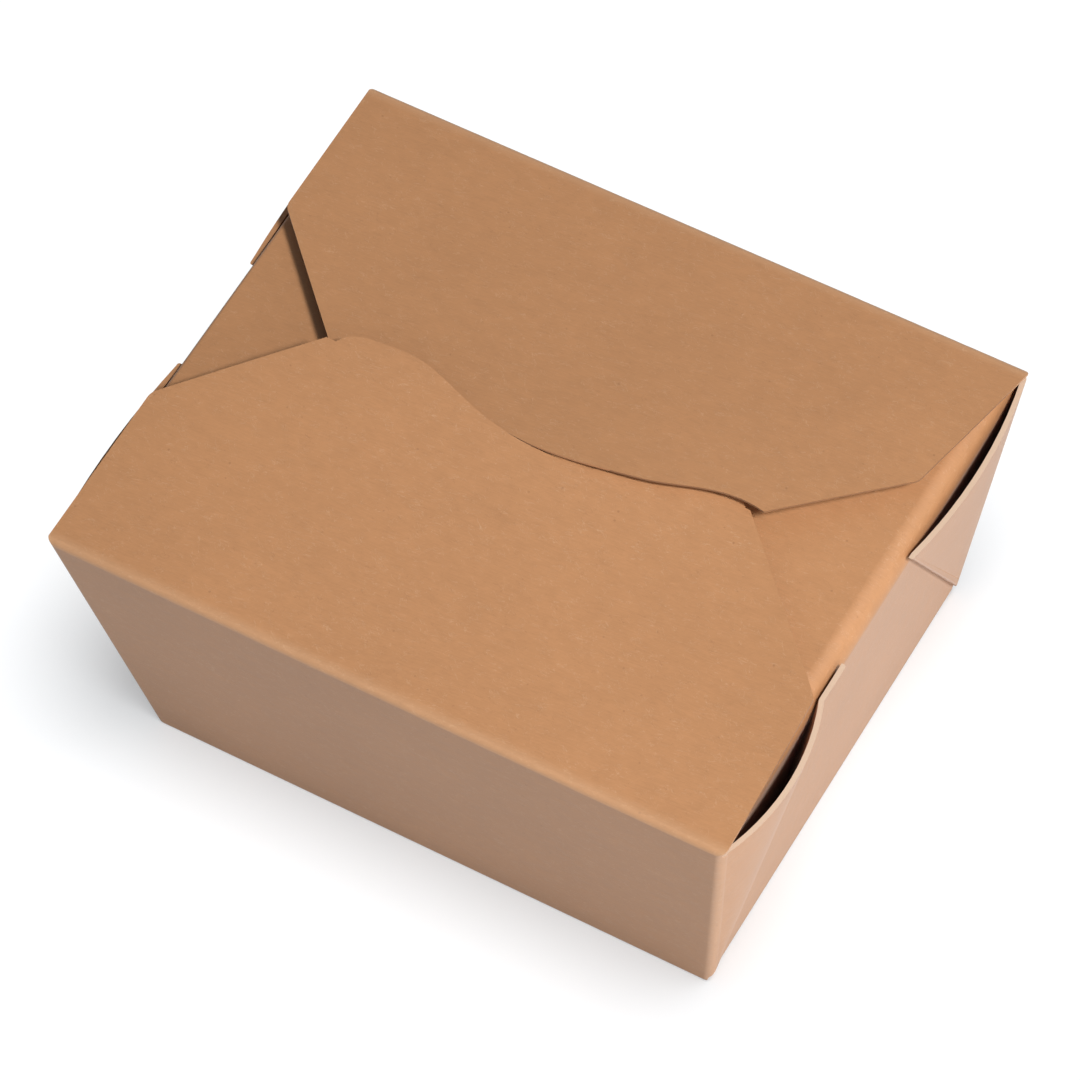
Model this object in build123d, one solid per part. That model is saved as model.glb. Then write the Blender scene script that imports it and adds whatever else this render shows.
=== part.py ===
"""Takeaway carton folded from one blank of kraft card and closed by its interlocking lid flaps."""
from build123d import *
from math import atan, cos, radians, tan
import os

# Card, base, rim and height of the folded carton, measured outside, in millimetres
card = 0.45
base_length = 112.0
base_width = 90.0
rim_length = 130.0
rim_width = 108.0
wall_height = 64.0

# Outer radii of the folds
corner_fold_radius = 1.6
base_fold_radius = 0.6
lid_fold_radius = 1.1
left_roll_radius = 0.8
right_roll_radius = 3.6
gusset_fold_radius = 0.45

# Long lid flaps: slope of the half on top and of the half tucked under, in degrees, and their outline
top_half_slope = 6.6
tucked_half_slope = 5.1
crossing_half_length = 14.0
front_shoulder_depth = 32.0
back_shoulder_depth = 31.0
shoulder_radius = 2.8
front_flap_tapers = (1.6, 0.6)
back_flap_tapers = (5.2, 1.3)

# Wavy seam between the long flaps, seen from above, and where each flap starts it at the left
seam_points = [
    (-33.0, 3.1), (-25.0, 3.4), (-15.3, 0.7), (-3.4, -1.9), (8.0, -1.6),
    (15.2, -0.5), (21.5, 0.7), (27.5, 2.7), (41.6, 3.7)]
front_tip = [(-39.6, 0.0), (-37.6, 2.0)]
back_tip = [(-44.7, 3.5), (-38.5, 3.5)]
seam_clearance = 0.1

# Tongue of each long flap, hidden under the other one
tongue_reach = 8.5
tongue_start = 8.0
tongue_near = 17.0
tongue_far = 33.0
tongue_radius = 4.0

# End flaps, rolled over from the end walls and tucked under the long flaps
end_flap_depth = 38.0
end_flap_tip_width = 62.0
end_flap_slope = 2.5
end_flap_drop = 0.45
end_flap_clearance = 1.3
end_flap_radius = 6.0

# Gussets: how far they stop below the lid folds, where their own folds run, and how they bow
# outwards from the end walls at the rim, as pairs of a depth and a distance from the gusset's fold
gusset_drop = 1.4
gusset_fold_start = 1.5
gusset_set_back = 2.0
bow_foot = 6.0
right_back_bow = (2.1, 1.5)
right_front_bow = (3.2, 8.5)
left_front_bow = (1.2, 1.5)
left_back_bow = (0.7, 1.5)

end_lean = atan((rim_length - base_length) / 2 / wall_height)
side_lean = atan((rim_width - base_width) / 2 / wall_height)
end_ply = card / cos(end_lean)
side_ply = card / cos(side_lean)
gusset_inset = 2 * end_ply
fold_level = wall_height - gusset_drop
roll_turn = radians(90 - end_flap_slope) + end_lean
roll_height = max(left_roll_radius, right_roll_radius) * tan(roll_turn / 2) * cos(end_lean)
hinge_level = wall_height - end_flap_drop - roll_height - card
lap = 2 * card
beyond = 2 * rim_length


def length_at(level):
    """Outside length of the carton at a height, measured over the gussets."""
    return base_length + 2 * level * tan(end_lean)


def width_at(level):
    """Outside width of the carton at a height."""
    return base_width + 2 * level * tan(side_lean)


def leaning_outline(size_at, inset, bottom, top):
    """Elevation of two leaning walls between two levels, drawn in by an inset."""
    return Polygon(
        (-size_at(bottom) / 2 + inset, bottom), (size_at(bottom) / 2 - inset, bottom),
        (size_at(top) / 2 - inset, top), (-size_at(top) / 2 + inset, top), align=None)


def tapered_block(end_inset, side_inset, bottom, top):
    """Block that flares as the walls do, drawn in by the insets, with sharp edges."""
    front_view = Plane.XZ * leaning_outline(length_at, end_inset, bottom, top)
    end_view = Plane.YZ * leaning_outline(width_at, side_inset, bottom, top)
    return extrude(front_view, beyond, both=True) & extrude(end_view, beyond, both=True)


def folded_block(end_inset, side_inset, bottom, top, fold_radius):
    """The same block with its four upright edges rounded as folds."""
    block = tapered_block(end_inset, side_inset, bottom, top)
    return fillet(block.edges().filter_by(Plane.XY, reverse=True), fold_radius)


def with_base_fold(block):
    """The block with the edges round its foot rounded as folds."""
    return fillet(block.edges().group_by(Axis.Z)[0], base_fold_radius)


def gusset_gap():
    """Half of the bare strip that is left between the two gusset folds at the rim."""
    end_slant = wall_height / cos(end_lean)
    side_slant = wall_height / cos(side_lean)
    end_edge_lean = atan((rim_width - base_width) / 2 / end_slant)
    side_edge_lean = atan((rim_length - base_length) / 2 / side_slant)
    web_angle = radians(90) - end_edge_lean - side_edge_lean
    return base_width / 2 - end_slant * tan(web_angle / 2 - end_edge_lean)


def fold_place(level):
    """How far a gusset fold lies from the middle of the end wall at a height."""
    start = width_at(gusset_fold_start) / 2
    rim = gusset_gap() + gusset_set_back
    return start - (start - rim) * (level - gusset_fold_start) / (wall_height - gusset_fold_start)


def folded_gusset():
    """Gusset at the back right corner, glued on the end wall, with its fold rounded."""
    low = -corner_fold_radius
    high = wall_height + corner_fold_radius
    outline = Polygon(
        (fold_place(low), low), (rim_width, low), (rim_width, high), (fold_place(high), high),
        align=None)
    block = extrude(Plane.YZ * outline, beyond, dir=(1, 0, 0))
    block &= tapered_block(0, -rim_width, low, high)
    fold = block.edges().sort_by_distance(Vector(beyond, 0, 0))[0]
    return fillet(fold, gusset_fold_radius)


def walls_outside():
    """Outer form of the tray: end walls sunk behind the gussets that are glued on them."""
    high = wall_height + corner_fold_radius
    end_walls = with_base_fold(tapered_block(gusset_inset, -base_width / 2, 0, high))
    back_right = folded_gusset()
    right = back_right + mirror(back_right, about=Plane.XZ)
    gussets = right + mirror(right, about=Plane.YZ)
    outside = with_base_fold(folded_block(0, 0, 0, fold_level, corner_fold_radius))
    return (end_walls + gussets) & outside


def gusset_bow(inset, level, depth, margin):
    """Swelling of the back right gusset: a thin cone from near its foot to an arc at the rim."""
    face = length_at(level) / 2 - inset
    near = width_at(level) / 2 - corner_fold_radius
    far = gusset_gap() + gusset_set_back + margin
    chord = Line((face, near), (face, far))
    arc = ThreePointArc((face, near), (face + depth, (near + far) / 2), (face, far))
    rim_face = Pos(0, 0, level) * make_face(Curve() + [chord, arc])
    foot = Vertex(
        length_at(bow_foot) / 2 - inset, width_at(bow_foot) / 2 - corner_fold_radius, bow_foot)
    return loft([rim_face, foot], ruled=True)


def gusset_bows(inset, level):
    """Swellings of the four gussets, each with a depth of its own."""
    right = gusset_bow(inset, level, *right_back_bow)
    right += mirror(gusset_bow(inset, level, *right_front_bow), about=Plane.XZ)
    left = gusset_bow(inset, level, *left_front_bow)
    left += mirror(gusset_bow(inset, level, *left_back_bow), about=Plane.XZ)
    return right + Rot(0, 0, 180) * left


def tray():
    """Base and four walls up to the lid folds: one card, but three where gussets are glued on."""
    high = fold_level + card
    inner_radius = corner_fold_radius - card
    outside = walls_outside() + gusset_bows(0, fold_level)
    inside = folded_block(3 * end_ply, side_ply, card, high, inner_radius)
    pockets = gusset_bows(gusset_inset, high)
    beside_hinges = folded_block(gusset_inset, side_ply, hinge_level, high, inner_radius)
    return outside - inside - pockets - beside_hinges


def card_section(points, radius):
    """Section of one card whose outer face runs through the points, rounded at the fold."""
    outer = FilletPolyline(*points, radius=radius)
    return make_face(offset(outer, amount=card, side=Side.RIGHT).edges())


def long_flap_section(position, slope):
    """Section across the front lid flap and its fold, at a place along the carton."""
    reach = rim_width
    foot = fold_level - 2 * lap
    plane = Plane(origin=(position, 0, 0), x_dir=(0, 1, 0), z_dir=(1, 0, 0))
    return plane * card_section(
        [(-width_at(foot) / 2, foot), (-rim_width / 2, wall_height),
         (-rim_width / 2 + reach, wall_height + reach * tan(radians(slope)))],
        lid_fold_radius)


def rounded(face, places, radius):
    """The face with the corners that lie nearest to the places rounded."""
    corners = [face.vertices().sort_by_distance(Vector(*place))[0] for place in places]
    return fillet(corners, radius)


def upright(plan):
    """Tall prism that stands on a plan."""
    return extrude(plan, beyond, dir=(0, 0, 1))


def long_flap_outline(tapers, shoulder_depth, seam):
    """Plan of the front lid flap: straight sides, shoulders cut at 45 degrees, seam and tongue."""
    left, right = (rim_length / 2 - taper for taper in tapers)
    shoulder = shoulder_depth - rim_width / 2
    run = min(left, right) - tongue_start
    outline = Polygon(
        (-beyond, -beyond), (-rim_length / 2, -rim_width / 2), (-left, shoulder),
        (run - left, shoulder + run), (right - run, shoulder + run), (right, shoulder),
        (rim_length / 2, -rim_width / 2), (beyond, -beyond), align=None)
    outline = rounded(outline, [(-left, shoulder), (right, shoulder)], shoulder_radius)
    seam_line = Spline(*seam)
    frame = Polyline(
        seam[-1], (beyond, seam[-1][1]), (beyond, -2 * beyond), (-beyond, -2 * beyond),
        (-beyond, seam[0][1]), seam[0])
    below_seam = make_face(Curve() + [seam_line, frame])
    return outline, Pos(0, -seam_clearance / 2) * below_seam


def long_flap(tapers, shoulder_depth, seam):
    """Front lid flap with its fold: high on its left half, tucked under on its right half."""
    end = rim_length / 2 + corner_fold_radius
    card_body = loft([
        long_flap_section(-end, top_half_slope),
        long_flap_section(-crossing_half_length, top_half_slope),
        long_flap_section(crossing_half_length, tucked_half_slope),
        long_flap_section(end, tucked_half_slope)])
    outline, below_seam = long_flap_outline(tapers, shoulder_depth, seam)
    root = min(y for x, y in seam) - tongue_radius
    tongue = Polygon(
        (tongue_start, root), (tongue_near, tongue_reach), (tongue_far, tongue_reach),
        (tongue_far + tongue_reach - root, root), align=None)
    tongue = rounded(
        tongue, [(tongue_near, tongue_reach), (tongue_far, tongue_reach)], tongue_radius)
    plan = upright(outline) & (upright(below_seam) + upright(tongue))
    reach = folded_block(0, 0, fold_level - lap, wall_height + shoulder_depth, corner_fold_radius)
    return card_body & plan & reach


def end_flap(roll_radius):
    """Left end flap, rolled over from the whole width of the end wall, under the long flaps."""
    hinge_top = wall_height - end_flap_drop
    foot = hinge_level - 2 * lap
    root = -length_at(hinge_top) / 2 + gusset_inset
    card_body = extrude(Plane.XZ * card_section(
        [(-length_at(foot) / 2 + gusset_inset, foot), (root, hinge_top),
         (root + end_flap_depth, hinge_top + end_flap_depth * tan(radians(end_flap_slope)))],
        roll_radius), beyond, both=True)
    shoulder = root + roll_radius
    tip = root + end_flap_depth
    half_root = width_at(hinge_level) / 2 - side_ply - end_flap_clearance
    half_tip = end_flap_tip_width / 2
    plan = Polygon(
        (-beyond, half_root), (shoulder, half_root), (tip, half_tip), (tip, -half_tip),
        (shoulder, -half_root), (-beyond, -half_root), align=None)
    corners = [(tip, half_tip), (tip, -half_tip), (shoulder, half_root), (shoulder, -half_root)]
    plan = rounded(plan, corners, end_flap_radius)
    return card_body & Pos(0, 0, hinge_level - lap) * upright(plan)


def carton():
    """The whole folded blank as one piece of card."""
    half_turn = Rot(0, 0, 180)
    front_seam = front_tip + seam_points
    back_seam = [(-x, -y) for x, y in reversed(back_tip + seam_points)]
    front_flap = long_flap(front_flap_tapers, front_shoulder_depth, front_seam)
    back_flap = half_turn * long_flap(back_flap_tapers, back_shoulder_depth, back_seam)
    left_flap = end_flap(left_roll_radius)
    right_flap = half_turn * end_flap(right_roll_radius)
    return tray() + front_flap + back_flap + left_flap + right_flap


os.makedirs("parts", exist_ok=True)
export_step(carton(), "parts/folded_carton.step")
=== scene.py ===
"""Kraft takeaway carton on a white table: the folded card, its paper surface, the light and the camera."""

from math import cos, pi, radians, sin, tan

import bmesh
import bpy
from mathutils import Matrix, Vector


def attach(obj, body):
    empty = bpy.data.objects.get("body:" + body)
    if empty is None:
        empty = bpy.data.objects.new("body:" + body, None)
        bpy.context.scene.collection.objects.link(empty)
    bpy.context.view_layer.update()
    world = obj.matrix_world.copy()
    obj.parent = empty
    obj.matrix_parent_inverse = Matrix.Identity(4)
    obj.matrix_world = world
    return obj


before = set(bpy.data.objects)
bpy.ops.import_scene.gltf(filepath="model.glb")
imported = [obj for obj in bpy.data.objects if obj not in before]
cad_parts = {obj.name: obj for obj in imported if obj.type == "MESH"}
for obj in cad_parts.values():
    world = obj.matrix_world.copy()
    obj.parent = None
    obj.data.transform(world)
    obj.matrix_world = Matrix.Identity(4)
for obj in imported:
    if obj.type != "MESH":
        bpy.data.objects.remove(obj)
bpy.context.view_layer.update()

# The carton
# One blank of unbleached kraft board, die-cut, creased, folded and glued at its four corner gussets.
# Its long fibres lie along the blank's length: they run up the bare end panels and along everything else.

rim_half_length = 0.065
rim_half_width = 0.054
base_half_length = 0.056
base_half_width = 0.045
wall_height = 0.064
card = 0.00045
gusset_fold_foot = 0.0460
gusset_fold_rim = 0.0110
crossing_half_length = 0.014
gusset_top_low = 0.058
gusset_top_high = 0.0629

kraft_tone = (0.418, 0.202, 0.088)
pale_fibre_tone = (0.64, 0.42, 0.26)
dark_fibre_tone = (0.25, 0.115, 0.05)
# Painted highlight: the pale tops of the right gussets, as lit as the right end.
painted_gusset_highlight_tone = (0.60, 0.43, 0.31)
# Painted shadow: the dark line under the lid flaps' edges, partly the raw edge's own darker brown.
flap_edge_and_shadow_tone = (0.20, 0.09, 0.035)
pale_fibre_strength = 0.22
dark_fibre_strength = 0.32
bark_strength = 0.45
rim_crease_strength = 0.22
corner_crease_strength = 0.16
flap_edge_and_shadow_strength = 0.8
bump_strength = 0.55
paper_roughness = 0.50


class Field:
    """A value, colour or vector that varies over a surface, worked with Python's operators."""

    def __init__(self, tree, socket):
        self.tree = tree
        self.socket = socket

    def node(self, kind, settings, inputs, output=0):
        """Adds a node: first its settings, then the values or links of its sockets."""
        made = self.tree.nodes.new(kind)
        for name, setting in settings.items():
            if name == "stops":
                ramp = made.color_ramp.elements
                while len(ramp) < len(setting):
                    ramp.new(0.5)
                for element, (place, colour) in zip(ramp, setting):
                    element.position = place
                    element.color = colour
            else:
                setattr(made, name, setting)
        for name, value in inputs.items():
            if isinstance(value, Field):
                self.tree.links.new(value.socket, made.inputs[name])
            else:
                made.inputs[name].default_value = value
        return Field(self.tree, made.outputs[output] if made.outputs else None)

    def math(self, operation, *values):
        return self.node("ShaderNodeMath", {"operation": operation}, dict(enumerate(values)))

    def __add__(self, other):
        return self.math("ADD", self, other)

    def __sub__(self, other):
        return self.math("SUBTRACT", self, other)

    def __rsub__(self, other):
        return self.math("SUBTRACT", other, self)

    def __mul__(self, other):
        return self.math("MULTIPLY", self, other)

    def __truediv__(self, other):
        return self.math("DIVIDE", self, other)

    def __gt__(self, other):
        return self.math("GREATER_THAN", self, other)

    def __abs__(self):
        return self.math("ABSOLUTE", self)

    __radd__ = __add__
    __rmul__ = __mul__


def new_material(name):
    """An empty material, with the start of its Python expressions."""
    material = bpy.data.materials.new(name)
    material.use_nodes = True
    material.node_tree.nodes.clear()
    return material, Field(material.node_tree, None)


def ramp_up(field, low, high):
    """0 below low, 1 above high and smooth between them."""
    return field.node(
        "ShaderNodeMapRange", {"interpolation_type": "SMOOTHSTEP"},
        {"Value": field, "From Min": low, "From Max": high, "To Min": 0.0, "To Max": 1.0})


def blend(mask, under, over):
    """Colour that goes from under to over with the mask."""
    return mask.node(
        "ShaderNodeMix", {"data_type": "RGBA"}, {0: mask, 6: under, 7: over}, output=2)


def rgb(tone):
    return (*tone, 1.0)


def kraft_board():
    """Unbleached kraft board: brown, softly mottled, with long pale and dark fibres and a dull sheen."""
    material, start = new_material("kraft_board")
    spot = start.node("ShaderNodeTexCoord", {}, {}, output=3)
    facing = start.node("ShaderNodeTexCoord", {}, {}, output=1)
    place = [spot.node("ShaderNodeSeparateXYZ", {}, {0: spot}, output=k) for k in range(3)]
    normal = [facing.node("ShaderNodeSeparateXYZ", {}, {0: facing}, output=k) for k in range(3)]
    x, y, z = place

    # Which panel of the blank a point lies on, and how the fibres run there
    end_panel = abs(normal[0]) > 0.7
    flat_panel = abs(normal[2]) > 0.7
    fold_line = gusset_fold_foot - (gusset_fold_foot - gusset_fold_rim) / wall_height * z
    gusset = end_panel * (abs(y) > fold_line)
    bare_end = end_panel * (1 - gusset)
    along = x * (1 - end_panel) + z * bare_end + y * gusset
    across = y * (flat_panel + bare_end) + z * (1 - flat_panel - bare_end)
    panel = end_panel * 3 + flat_panel * 5 + (normal[1] > 0.02) * 7

    def streaks(turn, length, breadth, layer, detail=2.0):
        """Noise drawn out into streaks that lie at an angle to the grain of the board."""
        run = (along * cos(turn) + across * sin(turn)) / length
        side = (across * cos(turn) - along * sin(turn)) / breadth
        vector = along.node("ShaderNodeCombineXYZ", {}, {0: run, 1: side, 2: panel + layer})
        return vector.node(
            "ShaderNodeTexNoise", {},
            {"Vector": vector, "Scale": 1.0, "Detail": detail, "Roughness": 0.55, "Distortion": 0.5})

    def fibres(turn, length, breadth, layer, fineness, sparseness):
        """Thin wandering lines where streaked noise crosses its middle, broken into short fibres."""
        line = 1 - ramp_up(abs(streaks(turn, length, breadth, layer) - 0.5), 0.0, fineness)
        patches = streaks(turn, length / 2, breadth * 2, layer + 1.5, 0.0)
        return line * ramp_up(patches, sparseness, sparseness + 0.06)

    cloud = spot.node(
        "ShaderNodeTexNoise", {}, {"Vector": spot, "Scale": 38.0, "Detail": 3.0, "Roughness": 0.55})
    floc = streaks(0.0, 0.0042, 0.0024, 11.0, 3.0)
    grain = streaks(radians(4), 0.0026, 0.00028, 17.0, 3.0)
    weft = streaks(radians(48), 0.0011, 0.00024, 23.0, 2.0)
    pale_fibres = fibres(radians(12), 0.0034, 0.0007, 31.0, 0.016, 0.54)
    crossed_fibres = fibres(radians(-38), 0.0028, 0.0007, 37.0, 0.016, 0.56)
    dark_fibres = fibres(radians(-16), 0.0030, 0.0009, 43.0, 0.012, 0.60)
    specks = spot.node(
        "ShaderNodeTexVoronoi", {}, {"Vector": spot, "Scale": 420.0, "Randomness": 1.0})
    rare = spot.node("ShaderNodeTexNoise", {}, {"Vector": spot, "Scale": 300.0, "Detail": 0.0})
    bark = (1 - ramp_up(specks, 0.06, 0.12)) * ramp_up(rare, 0.60, 0.66)

    shade = 1 + (cloud - 0.5) * 0.16 + (floc - 0.5) * 0.16 + (grain - 0.5) * 0.22 + (weft - 0.5) * 0.10
    tone = start.node("ShaderNodeCombineColor", {}, {
        0: shade * kraft_tone[0], 1: shade * kraft_tone[1], 2: shade * kraft_tone[2]})
    tone = blend((pale_fibres + crossed_fibres) * pale_fibre_strength, tone, rgb(pale_fibre_tone))
    tone = blend(dark_fibres * dark_fibre_strength, tone, rgb(dark_fibre_tone))
    tone = blend(bark * bark_strength, tone, rgb(dark_fibre_tone))

    # Pressed crease lines: the rim folds of the lid and the four upright corners
    side_slope = (rim_half_width - base_half_width) / wall_height
    end_slope = (rim_half_length - base_half_length) / wall_height
    off_rim = abs(abs(y) - rim_half_width + 0.0006) + abs(z - wall_height + 0.0006)
    rim_crease = (1 - ramp_up(off_rim, 0.0006, 0.0032)) * (normal[2] > 0.05)
    off_side = base_half_width + side_slope * z - abs(y)
    off_end = base_half_length + end_slope * z - abs(x)
    corner_crease = 1 - ramp_up(off_side + off_end, 0.0004, 0.0022)
    crease = rim_crease * rim_crease_strength + corner_crease * corner_crease_strength
    tone = blend(crease, tone, rgb(pale_fibre_tone))

    # Cut edges: along the sides of the lid flaps a little darker raw brown, made much darker as a painted
    # shadow of the gap under each flap edge; on top of the two right gussets a painted highlight, pale like
    # the lit right end
    above_rim = z > wall_height + card
    flap_edge_and_shadow = above_rim * (1 - flat_panel) * (abs(x) > crossing_half_length)
    tone = blend(flap_edge_and_shadow * flap_edge_and_shadow_strength, tone, rgb(flap_edge_and_shadow_tone))
    # Painted highlight: the up-facing tops of the gussets, on the lit right side only, are painted pale.
    painted_gusset_highlight = (normal[2] > 0.98) * (z > gusset_top_low) * (1 - (z > gusset_top_high)) * (x > 0.0)
    tone = blend(painted_gusset_highlight, tone, rgb(painted_gusset_highlight_tone))

    height = cloud * 0.00012 + floc * 0.00006 + grain * 0.000028 + weft * 0.000018
    height = height + (pale_fibres + crossed_fibres) * 0.000012
    bump = start.node(
        "ShaderNodeBump", {}, {"Strength": bump_strength, "Distance": 1.0, "Height": height})
    roughness = paper_roughness + (grain - 0.5) * 0.16 + (floc - 0.5) * 0.10
    surface = start.node("ShaderNodeBsdfPrincipled", {}, {
        "Base Color": tone, "Roughness": roughness, "IOR": 1.5, "Normal": bump,
        "Sheen Weight": 0.21, "Sheen Roughness": 0.4})
    start.node("ShaderNodeOutputMaterial", {}, {"Surface": surface})
    return material


kraft = kraft_board()
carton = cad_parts["folded_carton"]
carton.data.materials.clear()
carton.data.materials.append(kraft)

# The roots of the two tongues
# Each long flap's tongue begins in the middle of the lid, where it leaves the seam edge and slips under the
# other flap. It is part of the same board, and the second one is the first turned by half a turn.

root_length = 0.012
root_front = 0.0019
root_back = 0.0015
root_play = 0.00003
seam_offset = 0.0018
root_segments = 6
top_rise = tan(radians(6.6))
tucked_rise = tan(radians(5.1))


def flap_top(x):
    """Height of the front flap's upper face at the seam, where its slope swaps over."""
    tucked_share = 0.5 + 0.5 * x / crossing_half_length
    rise = top_rise + (tucked_rise - top_rise) * tucked_share
    return wall_height + (rim_half_width - seam_offset) * rise


tongue_roots = []
for side, turn in (("front", 0.0), ("back", pi)):
    shape = bmesh.new()
    bmesh.ops.create_grid(shape, x_segments=root_segments, y_segments=1, size=0.5)
    bmesh.ops.scale(shape, vec=(root_length, root_front + root_back, 1.0), verts=shape.verts)
    bmesh.ops.translate(shape, vec=(root_length / 2, (root_back - root_front) / 2, 0.0), verts=shape.verts)
    for point in shape.verts:
        point.co.z = min(flap_top(point.co.x), flap_top(-point.co.x) - card) - root_play
    bmesh.ops.solidify(shape, geom=shape.faces[:], thickness=card)
    bmesh.ops.rotate(shape, matrix=Matrix.Rotation(turn, 3, "Z"), verts=shape.verts)
    bmesh.ops.recalc_face_normals(shape, faces=shape.faces)
    mesh = bpy.data.meshes.new(f"{side}_tongue_root")
    shape.to_mesh(mesh)
    shape.free()
    mesh.materials.append(kraft)
    tongue_root = bpy.data.objects.new(f"{side}_tongue_root", mesh)
    bpy.context.collection.objects.link(tongue_root)
    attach(tongue_root, "root")
    tongue_roots.append(tongue_root)

# The table
# A matt white sheet, much larger than the view. It shows white to the camera and keeps the carton's shadow,
# which is a little deeper and cooler there, against the brown light that the carton throws on it.

table_half = 3.0
table_white = (0.50, 0.506, 0.512)
table_white_seen = (0.575, 0.582, 0.589)
table_glow_seen = 0.378
table_tint_seen = (1.0, 1.04, 1.07)
table_glow_matt = 0.29
table_glow_mirrored = 0.02

shape = bmesh.new()
bmesh.ops.create_grid(shape, x_segments=1, y_segments=1, size=table_half)
mesh = bpy.data.meshes.new("table")
shape.to_mesh(mesh)
shape.free()
table = bpy.data.objects.new("table", mesh)
bpy.context.collection.objects.link(table)
material, start = new_material("table_white")
rays = {kind: start.node("ShaderNodeLightPath", {}, {}, output=f"Is {kind} Ray")
        for kind in ("Camera", "Diffuse", "Glossy")}
glow = (rays["Camera"] * table_glow_seen + rays["Diffuse"] * table_glow_matt
        + rays["Glossy"] * table_glow_mirrored)
white = blend(rays["Camera"], rgb(table_white), rgb(table_white_seen))
tint = blend(rays["Camera"], rgb((1.0,) * 3), rgb(table_tint_seen))
matt = start.node("ShaderNodeBsdfDiffuse", {}, {"Color": white})
shine = start.node("ShaderNodeEmission", {}, {"Color": tint, "Strength": glow})
lit = start.node("ShaderNodeAddShader", {}, {0: matt, 1: shine})
start.node("ShaderNodeOutputMaterial", {}, {"Surface": lit})
mesh.materials.append(material)

# The light
# A white room, seen at full strength and mirrored in the card, that adds only a little light of its own.
# A small lamp high on the right gives the card its crisp shadows, a wide low one softens its right end, and
# a near one brightens the front corner. The table has its own broad light, for a soft shadow at the foot.

room_light = 0.15
room_mirrored = 0.50
carton_lamps = (
    # name, size, power, azimuth, height, distance
    ("key", 0.24, 21.4, radians(-12), radians(53), 1.40),
    ("wide", 1.20, 6.2, radians(-10), radians(15), 1.60),
    ("near", 0.25, 0.62, radians(-45), radians(20), 0.45))
table_lamp_power = 3.25
table_lamp_spread = radians(28)
table_lamp_azimuth = radians(-21)
table_lamp_height = radians(77)
table_lamp_distance = 1.0

world = bpy.data.worlds.new("white_room")
bpy.context.scene.world = world
world.use_nodes = True
world.node_tree.nodes.clear()
start = Field(world.node_tree, None)
seen = start.node("ShaderNodeLightPath", {}, {}, output="Is Camera Ray")
mirrored = start.node("ShaderNodeLightPath", {}, {}, output="Is Glossy Ray")
strength = room_light + seen * (1 - room_light) + mirrored * (room_mirrored - room_light)
room = start.node("ShaderNodeBackground", {}, {"Color": rgb((1.0,) * 3), "Strength": strength})
start.node("ShaderNodeOutputWorld", {}, {"Surface": room})


def hang_lamp(name, light, azimuth, height, distance, lights_up):
    """Lamp that looks at the carton and lights only what is listed; azimuth 0 is at its right end."""
    lamp = bpy.data.objects.new(name, light)
    bpy.context.collection.objects.link(lamp)
    away = Vector((cos(azimuth) * cos(height), sin(azimuth) * cos(height), sin(height)))
    lamp.rotation_mode = "QUATERNION"
    lamp.rotation_quaternion = away.to_track_quat("Z", "Y")
    lamp.location = Vector((0, 0, wall_height / 2)) + away * distance
    lit_things = bpy.data.collections.new(name + "_lights_up")
    for lit_thing in lights_up:
        lit_things.objects.link(lit_thing)
    lamp.light_linking.receiver_collection = lit_things


for name, size, power, azimuth, height, distance in carton_lamps:
    light = bpy.data.lights.new(name + "_light", "AREA")
    light.shape = "SQUARE"
    light.size = size
    light.energy = power
    hang_lamp(name + "_lamp", light, azimuth, height, distance, [carton, *tongue_roots])
sky = bpy.data.lights.new("table_light", "SUN")
sky.energy = table_lamp_power
sky.angle = table_lamp_spread
hang_lamp("table_lamp", sky, table_lamp_azimuth, table_lamp_height, table_lamp_distance, [table])

# The camera
# A long lens that looks down on the carton's front right corner, turned a little in the hand.

view_azimuth = radians(33.96)
view_elevation = radians(56.86)
view_roll = radians(-4.99)
view_distance = 1.0703
aim = Vector((-0.00325, 0.00249, 0.032))
lens = 205.97
sensor = 36.0

camera = bpy.data.objects.new("camera", bpy.data.cameras.new("camera"))
bpy.context.collection.objects.link(camera)
camera.data.lens = lens
camera.data.sensor_width = sensor
back = Vector((
    sin(view_azimuth) * cos(view_elevation),
    -cos(view_azimuth) * cos(view_elevation),
    sin(view_elevation)))
turn = (
    Matrix.Rotation(view_azimuth, 4, "Z")
    @ Matrix.Rotation(pi / 2 - view_elevation, 4, "X")
    @ Matrix.Rotation(view_roll, 4, "Z"))
camera.matrix_world = Matrix.Translation(aim + back * view_distance) @ turn
bpy.context.scene.camera = camera
bpy.context.scene.view_settings.view_transform = "Standard"
